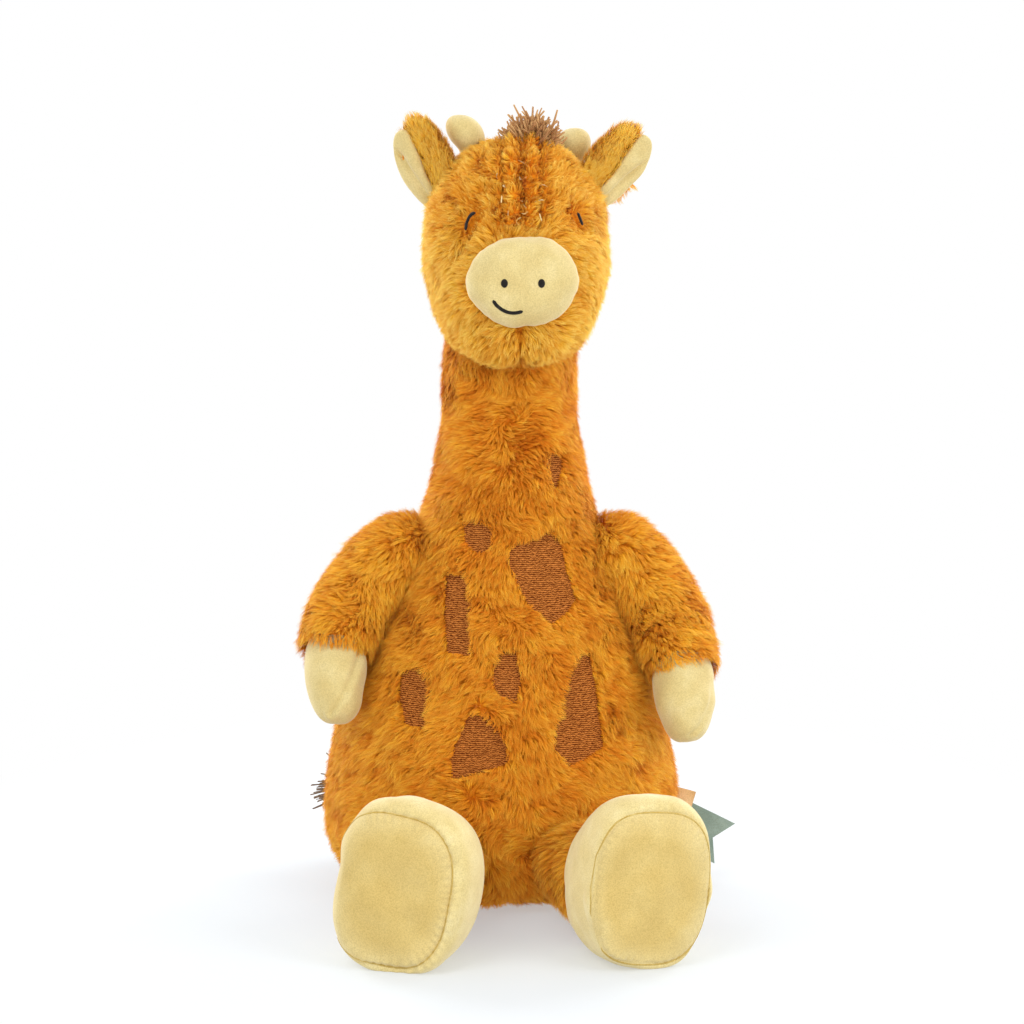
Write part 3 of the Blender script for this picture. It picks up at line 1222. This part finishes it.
def stitched_line(name, line, shape, width, material, lift=0.0, count=40):
    """A satin-stitched line lying on a form."""
    line = [vec(*point) for point in line]
    lengths = np.cumsum([0] + [np.linalg.norm(b - a) for a, b in zip(line, line[1:])])
    points, normals, radii = [], [], []
    for s in np.linspace(0, lengths[-1], count):
        k = min(np.searchsorted(lengths, s, side="right") - 1, len(line) - 2)
        x, z = blend(line[k], line[k + 1], (s - lengths[k]) / (lengths[k + 1] - lengths[k]))
        place, normal = shape.front_hit(x, z)
        points.append(place + normal * lift)
        normals.append(normal)
        end = min(s, lengths[-1] - s) / width
        radii.append(width / 2 * min(1.0, math.sqrt(max(end * 2, 0.1))))
    points = np.array(points)
    for _ in range(6):
        points[1:-1] = (points[:-2] + 2 * points[1:-1] + points[2:]) / 4
    return tube(name, points, radii, material, 8, 0.55, normals)


put_form("muzzle", MUZZLE_FORM, MINKY, "head", "minky", 0.8, "muzzle_skin")
smile = stitched_line("smile_thread", SMILE, MUZZLE_FORM, STITCH_WIDTH, BLACK_THREAD)
put(smile, "head", "black_thread", None, "smile")
for side, word in SIDES.items():
    place, normal = MUZZLE_FORM.front_hit(*NOSTRILS[side])
    across = unit(np.cross(normal, vec(0, 0, 1)))
    up = np.cross(across, normal)
    wide, tall = NOSTRIL_RADII
    rings = [ring(place + normal * h, across * wide * s, up * tall * s) for h, s in NOSTRIL_SHARES]
    put_form(f"nostril_thread_{word}", form(rings, 8), BLACK_THREAD, "head", "black_thread", None, f"nostril_{word}")
    eye = stitched_line(f"eye_thread_{word}", EYES[side], HEAD_CLOTH, STITCH_WIDTH, BLACK_THREAD, EYE_LIFT)
    put(eye, "head", "black_thread", None, f"eye_{word}")
for number, (x, z) in enumerate(BROW_STITCHES):
    tilt, half = BROW_STITCH.tilt * math.sin(number * 2.3), BROW_STITCH.half
    line = ((x - tilt, z + half), (x, z), (x + tilt, z - half))
    stitch = stitched_line(
        f"brow_stitch_{number}", line, HEAD_CLOTH, BROW_STITCH.width, PALE_THREAD, BROW_STITCH.lift, 8
    )
    put(stitch, "head", "minky")

# Spots: a sunken patch of stitched rows each, taken in under the pile's edge

SPOT_STEP = 0.0008
SPOT_MARGIN = 0.003
SPOT_TAKEN_IN = 0.0024
SPOT_LIFT = 0.0010

for name, outline in SPOTS.items():
    grid_x, grid_z = (
        np.arange(min(v) - SPOT_MARGIN, max(v) + SPOT_MARGIN + SPOT_STEP, SPOT_STEP) for v in zip(*outline)
    )
    index, verts, faces = {}, [], []
    for i, x in enumerate(grid_x):
        near = outline_gap(np.full(len(grid_z), x), grid_z, outline) <= SPOT_TAKEN_IN
        for j in np.nonzero(near)[0]:
            place, normal = TORSO_CLOTH.front_hit(x, grid_z[j])
            if place is not None and normal[1] <= -0.2:
                index[i, j] = len(verts)
                verts.append(place + normal * SPOT_LIFT)
    for (i, j), a in index.items():
        corners = [index.get(k) for k in ((i + 1, j), (i + 1, j + 1), (i, j + 1))]
        if None not in corners:
            faces.append((a, *corners))
    put(mesh_object(f"{name}_stitches", verts, faces, SPOT_THREAD), "torso", "brown_thread", None, name)

# Horns: a stem and a round knob each

HORN_APART = 0.0260
HORNS = {  # how far back and how far outward the foot lies, and the lean
    LEFT: (0.020, 0.0, math.radians(8)),
    RIGHT: (0.005, 0.0022, math.radians(18)),
}
HORN_PROFILE = (
    (-0.0046, 0.0058), (0.0, 0.0060), (0.0030, 0.0062), (0.0060, 0.0084), (0.0100, 0.0096), (0.0145, 0.0094),
    (0.0186, 0.0072), (0.0210, 0.0030),
)

for side, word in SIDES.items():
    back, inward, lean = HORNS[side]
    x = HEAD.aside + FACE_SHIFT / 2 + side * HORN_APART
    foot_point = vec(x + inward, back, crown_height(x, back))
    tilt = vec(side * math.sin(lean), 0, math.cos(lean))
    rings = [ring(foot_point + tilt * h, vec(r, 0, 0), vec(0, r, 0)) for h, r in HORN_PROFILE]
    put_form(f"horn_bulb_{word}", form(rings, 10), MINKY, "head", "minky", 0.8, f"horn_{word}")

# Ears: fur behind and along the inner half, a creased pale lining along the outer half

LINING_SHARES = (  # rise along the ear, half width, middle, thickness share, cupping share
    (-0.13, 0.0028, 0.0034, 0.5, 0.0), (0.04, 0.0050, 0.0062, 0.8, 0.1), (0.24, 0.0063, 0.0092, 1.0, 0.5),
    (0.50, 0.0068, 0.0108, 1.0, 1.0), (0.72, 0.0066, 0.0100, 1.0, 0.8), (0.87, 0.0052, 0.0088, 0.8, 0.5),
    (0.94, 0.0024, 0.0080, 0.4, 0.3),
)
LINING_REACH = {RIGHT: 1.01, LEFT: 1.10}
LINING_SHIFT = {RIGHT: 0.0010, LEFT: 0.0020}
LINING_THICK = 0.0040
LINING_LIFT = 0.0036
WISPS = 260


def ear_places(p, ear):
    """Shares of the ear's length, and how far outward a point lies."""
    return (p - ear.home) @ ear.ahead / EAR.long, (p - ear.home) @ ear.outward


def ear_slimmed(p, n, ear):
    """The cloth is drawn in along its outer edge and under the lining."""
    along, aside = ear_places(p, ear)
    low = smooth_step(0.55, 0.05, along)
    under = smooth_step(0.001, 0.005, aside) * np.maximum(n @ ear.facing, 0)
    return -0.0012 - (0.0034 + 0.0036 * low) * np.maximum(n @ ear.outward, 0) - 0.0040 * under


def ear_creased(p, n, ear):
    along, aside = ear_places(p, ear)
    crease = bump(aside - (0.0034 + 0.0118 * along), 0.0019) * (n @ ear.facing > 0)
    return -0.0023 * crease * smooth_step(0.82, 0.62, along) + LUMPS(p * 2) * 0.0003


for side, word in SIDES.items():
    ear, body = EAR_FRAME[side], f"ear_{word}"
    cloth = EARS[side].sculpted(ear_slimmed, ear)
    put_form(f"ear_cloth_{word}", cloth, BACKING, body, "fur", 0.3, f"ear_back_{word}")
    rings = []
    for rise, half, middle, thickness, cupping in LINING_SHARES:
        cup = EAR.cup * cupping
        place = ear.home + ear.ahead * EAR.long * rise * LINING_REACH[side] + ear.facing * (LINING_LIFT - cup * 0.28)
        place = place + ear.outward * (middle - LINING_SHIFT[side])
        rings.append(ring(place, ear.across * half, ear.facing * LINING_THICK * thickness, ear.facing * cup * 0.36))
    lining = form(rings, 10, 5).sculpted(ear_creased, ear)
    put_form(f"ear_inside_{word}", lining, MINKY, body, "minky", 0.3, f"ear_lining_{word}")

    rng = np.random.default_rng(60 + side)
    places, normals = cloth.scatter(rng, DENSITY * 1.9)
    aside, facing = ear_places(places, ear)[1], normals @ ear.facing
    lined = (facing > 0.1) & (aside > 0.0042 - LINING_SHIFT[side])
    places, normals = keep((facing < -0.05) | ~lined & (aside < 0.0115), places, normals)
    places, normals = keep(~HEAD_FORM.holds(places, 0.004), places, normals)
    along, aside = ear_places(places, ear)
    edge = smooth_step(0.004, 0.012, aside) * smooth_step(0.9, 0.6, along)
    pile = Pile(70 + side)
    pile.grow(
        places, normals, ear.ahead - ear.outward * 0.25, swirl=0.25, gather=0.6,
        length=(0.0066 + 0.0012 * smooth_step(0.55, 1.0, along)) * (1 - 0.45 * edge),
        lean=60 - 6 * smooth_step(0.0, 0.3, normals @ ear.facing),
        tone=0.82 + 0.12 * smooth_step(0.6, 1.0, along), tone_spread=0.16,
    )
    if side == LEFT:
        # wisps of the back's pile show below the lining
        wisps = rng.uniform(size=(WISPS, 2))
        along, behind = wisps[:, :1], wisps[:, 1:]
        starts = ear.home + ear.ahead * (EAR.long * (0.02 + 0.42 * along)) + ear.outward * (0.0090 + 0.0078 * along)
        starts = starts - ear.facing * (0.0010 + 0.002 * behind)
        pile.grow(
            starts, np.tile(ear.outward * 0.7 - ear.facing * 0.3, (WISPS, 1)), ear.outward - ear.ahead * 0.5,
            length=0.0070, lean=30, spread=22, clump=0.0022, tone=0.9, tone_spread=0.1,
        )
    pile.build(f"ear_pile_{word}", HEAD_FUR, body)


# Yarn: round strands fanned out from a root

YARN_STEPS, YARN_SIDES = 4, 4
YARN_TAPER = (1.0, 1.05, 1.0, 0.95, 0.75)


def yarn(name, root, ways, lengths, radii, material, seed, scatter, wave):
    rng = np.random.default_rng(seed)
    verts, faces, uvs = [], [], []
    for way, long, radius in zip(ways, lengths, radii):
        start = root + rng.normal(size=3) * scatter - way * 0.002
        curl = unit(rng.normal(size=3)) * rng.uniform(0.3, 1.0) * wave
        tone = rng.uniform(0.03, 0.97)
        a = unit(np.cross(way, vec(0.1, 1, 0.2)))
        b = np.cross(way, a)
        first = len(verts)

        def shades(v0, v1):
            low, high = tone - TONE_STRIP, tone + TONE_STRIP
            return (low, v0), (high, v0), (high, v1), (low, v1)

        for i, taper in enumerate(YARN_TAPER):
            p = start + way * long * i / YARN_STEPS + curl * math.sin(i / YARN_STEPS * math.pi)
            r = radius * taper
            for j in range(YARN_SIDES):
                t = TURN * j / YARN_SIDES + i * 0.5
                verts.append(p + a * math.cos(t) * r + b * math.sin(t) * r)
        for i in range(YARN_STEPS):
            row, after = first + i * YARN_SIDES, first + (i + 1) * YARN_SIDES
            for j in range(YARN_SIDES):
                m = (j + 1) % YARN_SIDES
                faces.append((row + j, row + m, after + m, after + j))
                uvs.append(shades(0.02 + 0.96 * i / YARN_STEPS, 0.02 + 0.96 * (i + 1) / YARN_STEPS))
        faces.append(tuple(first + YARN_STEPS * YARN_SIDES + j for j in range(YARN_SIDES)))
        uvs.append(shades(0.96, 0.98))
    obj = mesh_object(name, verts, faces, material)
    layer = obj.data.uv_layers.new(name="OFBake")
    layer.data.foreach_set("uv", np.array(uvs, np.float32).reshape(-1))
    return obj


TUFT_STRANDS, TUFT_ROOT = 460, vec(0.0112, -0.001, 0.3790)
TASSEL_STRANDS = 260

rng = np.random.default_rng(81)
angles = rng.uniform(-1.12, 1.05, TUFT_STRANDS)
ways = [unit(vec(math.sin(a), rng.uniform(-0.65, 0.55), math.cos(a))) for a in angles]
lengths = rng.uniform(0.0150, 0.0215, TUFT_STRANDS) * (0.86 + 0.14 * np.cos(angles))
radii = rng.uniform(0.00042, 0.00070, TUFT_STRANDS)
put(yarn("yarn_tuft", TUFT_ROOT, ways, lengths, radii, YARN, 82, 0.0028, 0.003), "head", "yarn", None, "hair_tuft")

# Tail: a fur cord with a yarn tassel

cord, tassel_start, tassel_ahead = tail_rings()
cloth = form(cord, 6).moved(-TAIL_CLOTH_INSET)
put_form("tail_cloth", cloth, BACKING, "tail", "fur", 0.5, "tail_cord")
rng = np.random.default_rng(91)
places, normals = cloth.scatter(rng, DENSITY)
pile = Pile(92)
pile.grow(places, normals, vec(-1, -0.3, -0.2), length=0.0055, lean=58)
pile.build("tail_pile", FUR, "tail")
ways = [unit(tassel_ahead + rng.normal(size=3) * vec(0.10, 0.16, 0.20)) for _ in range(TASSEL_STRANDS)]
lengths, radii = rng.uniform(0.022, 0.036, TASSEL_STRANDS), rng.uniform(0.0003, 0.0005, TASSEL_STRANDS)
tassel = yarn("tail_yarn_tassel", tassel_start, ways, lengths, radii, TAIL_YARN, 93, 0.0016, 0.002)
put(tassel, "tail", "yarn", None, "tail_tassel")

# Labels: a ribbon with a swallow-tail end, and a tab folded at its outer edge with both ends in the seam

RIBBON_SEAM = vec(0.0880, -0.006, 0.0330)
RIBBON_SLOPE = math.radians(-26)
RIBBON_SIZE = SimpleNamespace(shown=0.0270, taken_in=0.0060, notch=0.0070, wide=0.0240)
RIBBON_STEPS = (16, 12)
TAB_CORNER = (0.0790, -0.0090, 0.0415)
TAB_SLOPE = math.radians(16)
TAB_SIZE = (0.0150, 0.0125)
TAB_STEPS = 8
RIBBON_CURL = 0.0006
LABEL_WAVE = 0.0004              # also half the gap between the tab's layers

rows, columns = RIBBON_STEPS
ahead = vec(math.cos(RIBBON_SLOPE), 0, math.sin(RIBBON_SLOPE))
upward = vec(-math.sin(RIBBON_SLOPE), 0, math.cos(RIBBON_SLOPE))
verts = []
for i in range(rows + 1):
    for j in range(columns + 1):
        t = j / columns * 2 - 1
        reach = RIBBON_SIZE.shown - RIBBON_SIZE.notch * (1 - abs(t))
        s = -RIBBON_SIZE.taken_in + (reach + RIBBON_SIZE.taken_in) * i / rows
        curl = RIBBON_CURL * math.sin(s / RIBBON_SIZE.shown * 3.0 + t)
        verts.append(RIBBON_SEAM + ahead * s + upward * t * RIBBON_SIZE.wide / 2 + vec(0, curl, 0))
ribbon = mesh_object("ribbon", verts, grid_faces(rows, columns), RIBBON)
put(ribbon, "ribbon", "ribbon_cloth", None, "ribbon_label")

verts = []
c, s = math.cos(TAB_SLOPE), math.sin(TAB_SLOPE)
x, y, z = TAB_CORNER
for layer in (1, -1):
    for i in range(TAB_STEPS + 1)[::layer]:
        gap = LABEL_WAVE * math.sqrt(max(1 - (i / TAB_STEPS) ** 4, 0)) * layer
        for j in range(TAB_STEPS + 1):
            long, up = TAB_SIZE[0] * i / TAB_STEPS, TAB_SIZE[1] * j / TAB_STEPS
            wave = LABEL_WAVE * math.sin(i * 0.8 + j * 0.3)
            verts.append(vec(x + long * c + up * s, y - gap + wave, z - long * s + up * c))
tab = mesh_object("tab", verts, grid_faces(2 * TAB_STEPS + 1, TAB_STEPS), TAB)
put(tab, "torso", "tab_cloth", None, "side_label")

# Filling inside

for name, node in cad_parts.items():
    if not node.hide_render:
        node.data.materials.clear()
        node.data.materials.append(BAG if name == "seat_bean_bag" else FILLING)
